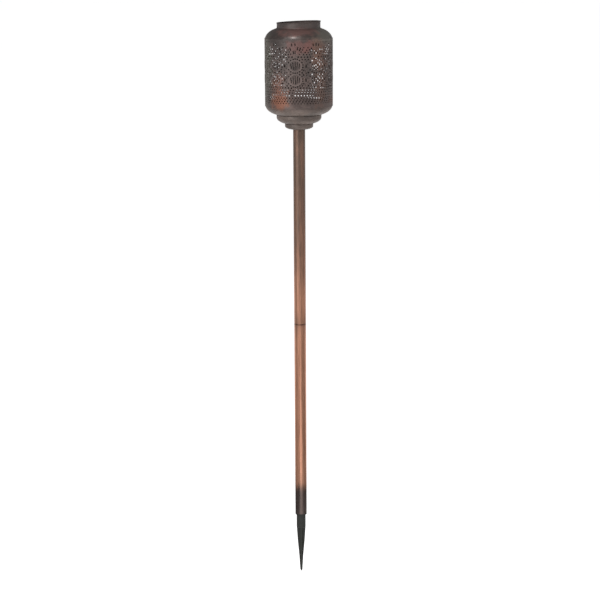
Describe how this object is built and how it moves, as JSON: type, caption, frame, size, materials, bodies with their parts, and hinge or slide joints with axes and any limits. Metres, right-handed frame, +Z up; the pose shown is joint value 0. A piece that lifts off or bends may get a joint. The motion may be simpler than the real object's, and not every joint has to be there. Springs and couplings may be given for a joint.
{
  "type": "garden torch",
  "caption": "Garden oil torch: punched metal lantern head with a hanging fuel canister, burner and snuffer, on a sectional tube pole with a four-blade ground spike.",
  "frame": {"origin": "on the pole's axis at ground level, where the bottom end of the lower pole meets the ground stake", "axes": "+Z up along the pole; +X to the right and +Y to the back, away from the viewer, with the lap of the rolled wall at the back, 12 degrees from +Y towards -X"},
  "size_m": [0.179, 0.179, 1.5273],
  "materials": {
    "head_patina": "dark antique copper patina over punched and spun sheet",
    "pole_patina": "antique copper finish, brushed, darker at the ends",
    "stake_plastic": "matte black-green moulded plastic",
    "zinc_steel": "zinc plated",
    "can_steel": "dark painted steel can",
    "brass": "turned, slightly tarnished",
    "rubber": "matte",
    "glass_fibre": "woven glass-fibre rope, scorched at the tip"
  },
  "bodies": {
    "stake": {"ground_stake": "stake_plastic"},
    "lower_section": {"lower_pole": "pole_patina"},
    "torch_top": {"upper_pole": "pole_patina", "pole_top_plug": "zinc_steel", "weld_nut": "zinc_steel", "head_bolt": "zinc_steel", "head_washer": "zinc_steel", "lock_washer": "zinc_steel", "socket_cup": "head_patina", "step_cup": "head_patina", "lower_bowl": "head_patina", "lantern_wall": "head_patina", "neck_dome": "head_patina", "canister_ring": "head_patina"},
    "canister": {"canister_body": "can_steel", "canister_base": "can_steel", "canister_lid": "can_steel"},
    "burner": {"burner_body": "brass", "burner_gasket": "rubber"},
    "wick": {"wick": "glass_fibre"},
    "snuffer": {"snuffer_cap": "brass", "snuffer_knob": "brass"}
  },
  "joints": [
    {"name": "lower_section_lift", "type": "slide", "parent": "stake", "child": "lower_section", "axis": [0, 0, 1], "range_m": [0, 0.05]},
    {"name": "torch_top_lift", "type": "slide", "parent": "lower_section", "child": "torch_top", "axis": [0, 0, 1], "range_m": [0, 0.065]},
    {"name": "canister_lift", "type": "slide", "parent": "torch_top", "child": "canister", "axis": [0, 0, 1], "range_m": [0, 0.18]},
    {"name": "burner_lift", "type": "slide", "parent": "canister", "child": "burner", "axis": [0, 0, 1], "range_m": [0, 0.15]},
    {"name": "wick_raise", "type": "slide", "parent": "burner", "child": "wick", "axis": [0, 0, 1], "range_m": [0, 0.006]},
    {"name": "snuffer_lift", "type": "slide", "parent": "burner", "child": "snuffer", "axis": [0, 0, 1], "range_m": [0, 0.06]}
  ]
}
